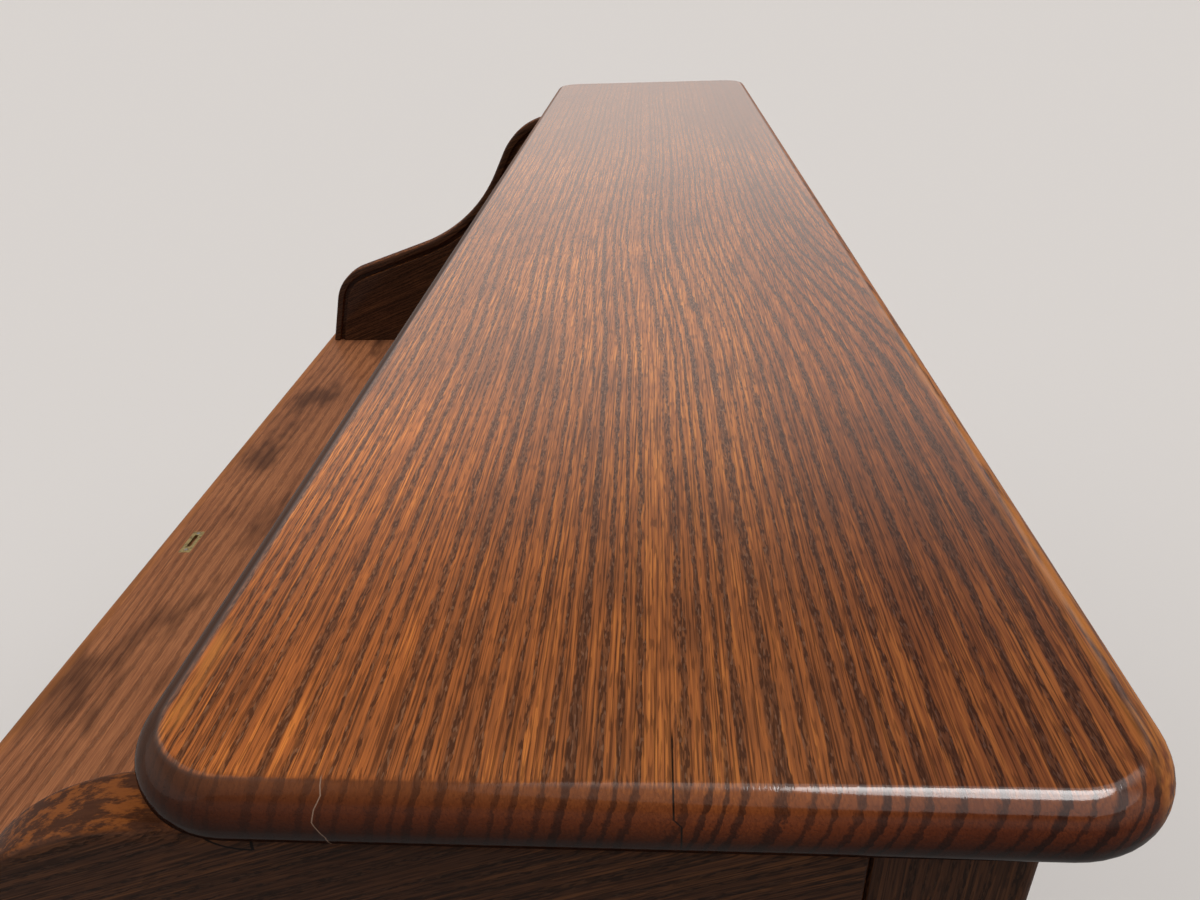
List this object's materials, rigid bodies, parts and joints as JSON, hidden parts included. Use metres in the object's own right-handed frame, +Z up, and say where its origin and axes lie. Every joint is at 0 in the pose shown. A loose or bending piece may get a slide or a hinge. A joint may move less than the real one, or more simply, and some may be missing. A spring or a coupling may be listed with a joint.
{
  "type": "roll-top desk",
  "caption": "S-roll tambour desk in dark oak with a rounded top board, S-shaped grooved ends, slatted roll, pigeonhole gallery, twin drawer pedestals and a kneehole.",
  "frame": {"origin": "on the floor under the middle of the desk's box", "axes": "+Z up, +X along the desk's width, the sitter's side faces -Y"},
  "size_m": [1.524, 0.804, 1.22],
  "materials": {
    "top_oak": "satin",
    "case_oak": "satin",
    "roll_oak": "satin",
    "writing_top_wood": "satin",
    "gallery_wood": "satin",
    "inner_wood": "matt",
    "canvas": "woven",
    "brass": "aged",
    "steel": "dull"
  },
  "bodies": {
    "carcass": {"drawer_rails": "inner_wood", "drawer_runners": "inner_wood", "gallery_case": "gallery_wood", "gallery_partitions": "gallery_wood", "gallery_shelf": "gallery_wood", "kneehole_back": "inner_wood", "left_back_stile": "case_oak", "left_end_panel": "case_oak", "left_inner_side": "case_oak", "left_pedestal_end": "case_oak", "left_plinth": "case_oak", "lower_back_frame": "case_oak", "lower_back_panel": "inner_wood", "pedestal_end_fields": "case_oak", "pedestal_floors": "inner_wood", "right_back_stile": "case_oak", "right_end_panel": "case_oak", "right_inner_side": "case_oak", "right_pedestal_end": "case_oak", "right_plinth": "case_oak", "strike_plate": "brass", "strike_screws": "steel", "top_board": "top_oak", "top_cleats": "case_oak", "upper_back_frame": "case_oak", "upper_back_panel": "inner_wood", "writing_top": "writing_top_wood"},
    "roll_front": {"lift_rail": "roll_oak", "lift_knobs": "brass", "lock_case": "brass", "key_escutcheon": "brass", "front_slats": "roll_oak", "front_canvas": "canvas"},
    "roll_back": {"back_slats": "roll_oak", "back_canvas": "canvas"},
    "lock_bolt": {"lock_bolt": "steel"},
    "gallery_left_drawer": {"gallery_left_drawer": "gallery_wood"},
    "gallery_right_drawer": {"gallery_right_drawer": "gallery_wood"},
    "turning_slat_1": {"turning_slat_1": "roll_oak"},
    "turning_slat_2": {"turning_slat_2": "roll_oak"},
    "turning_slat_3": {"turning_slat_3": "roll_oak"},
    "turning_slat_4": {"turning_slat_4": "roll_oak"},
    "left_top_drawer": {"left_top_drawer_front": "case_oak", "left_top_drawer_box": "inner_wood", "left_top_drawer_pulls": "case_oak"},
    "left_middle_drawer": {"left_middle_drawer_front": "case_oak", "left_middle_drawer_box": "inner_wood", "left_middle_drawer_pulls": "case_oak"},
    "left_bottom_drawer": {"left_bottom_drawer_front": "case_oak", "left_bottom_drawer_box": "inner_wood", "left_bottom_drawer_pulls": "case_oak"},
    "right_top_drawer": {"right_top_drawer_front": "case_oak", "right_top_drawer_box": "inner_wood", "right_top_drawer_pulls": "case_oak"},
    "right_file_drawer": {"right_file_drawer_front": "case_oak", "right_file_drawer_box": "inner_wood", "right_file_drawer_pulls": "case_oak"},
    "centre_drawer": {"centre_drawer_front": "case_oak", "centre_drawer_box": "inner_wood", "centre_drawer_pulls": "case_oak"}
  },
  "joints": [
    {"name": "roll_turn", "type": "hinge", "parent": "carcass", "child": "roll_front", "pos_m": [0, 0.07902, 1.0645], "axis": [1, 0, 0], "range_deg": [0, 59]},
    {"name": "turning_slat_1_turn", "type": "hinge", "parent": "carcass", "child": "turning_slat_1", "pos_m": [0, 0.06718, 1.05877], "axis": [1, 0, 0], "range_deg": [0, 51.63]},
    {"name": "turning_slat_2_turn", "type": "hinge", "parent": "carcass", "child": "turning_slat_2", "pos_m": [0, 0.02747, 1.04732], "axis": [1, 0, 0], "range_deg": [0, 36.88]},
    {"name": "turning_slat_3_turn", "type": "hinge", "parent": "carcass", "child": "turning_slat_3", "pos_m": [0, -0.06747, 1.03586], "axis": [1, 0, 0], "range_deg": [0, 22.13]},
    {"name": "turning_slat_4_turn", "type": "hinge", "parent": "carcass", "child": "turning_slat_4", "pos_m": [0, -0.54312, 1.0244], "axis": [1, 0, 0], "range_deg": [0, 7.38]},
    {"name": "roll_back_slide", "type": "slide", "parent": "carcass", "child": "roll_back", "axis": [0, 0, 1], "range_m": [0, 0.09165]},
    {"name": "lock_bolt_slide", "type": "slide", "parent": "roll_front", "child": "lock_bolt", "axis": [0, -0.9724, 0.2334], "range_m": [0, 0.01]},
    {"name": "left_top_drawer_slide", "type": "slide", "parent": "carcass", "child": "left_top_drawer", "axis": [0, -1, 0], "range_m": [0, 0.38]},
    {"name": "left_middle_drawer_slide", "type": "slide", "parent": "carcass", "child": "left_middle_drawer", "axis": [0, -1, 0], "range_m": [0, 0.38]},
    {"name": "left_bottom_drawer_slide", "type": "slide", "parent": "carcass", "child": "left_bottom_drawer", "axis": [0, -1, 0], "range_m": [0, 0.38]},
    {"name": "right_top_drawer_slide", "type": "slide", "parent": "carcass", "child": "right_top_drawer", "axis": [0, -1, 0], "range_m": [0, 0.38]},
    {"name": "right_file_drawer_slide", "type": "slide", "parent": "carcass", "child": "right_file_drawer", "axis": [0, -1, 0], "range_m": [0, 0.38]},
    {"name": "centre_drawer_slide", "type": "slide", "parent": "carcass", "child": "centre_drawer", "axis": [0, -1, 0], "range_m": [0, 0.38]},
    {"name": "gallery_left_drawer_slide", "type": "slide", "parent": "carcass", "child": "gallery_left_drawer", "axis": [0, -1, 0], "range_m": [0, 0.11]},
    {"name": "gallery_right_drawer_slide", "type": "slide", "parent": "carcass", "child": "gallery_right_drawer", "axis": [0, -1, 0], "range_m": [0, 0.11]}
  ],
  "couplings": [
    {"joint": "turning_slat_1_turn", "follows": "roll_turn", "ratio": 0.875},
    {"joint": "turning_slat_2_turn", "follows": "roll_turn", "ratio": 0.625},
    {"joint": "turning_slat_3_turn", "follows": "roll_turn", "ratio": 0.375},
    {"joint": "turning_slat_4_turn", "follows": "roll_turn", "ratio": 0.125},
    {"joint": "roll_back_slide", "follows": "roll_turn", "m_per_rad": 0.089}
  ]
}
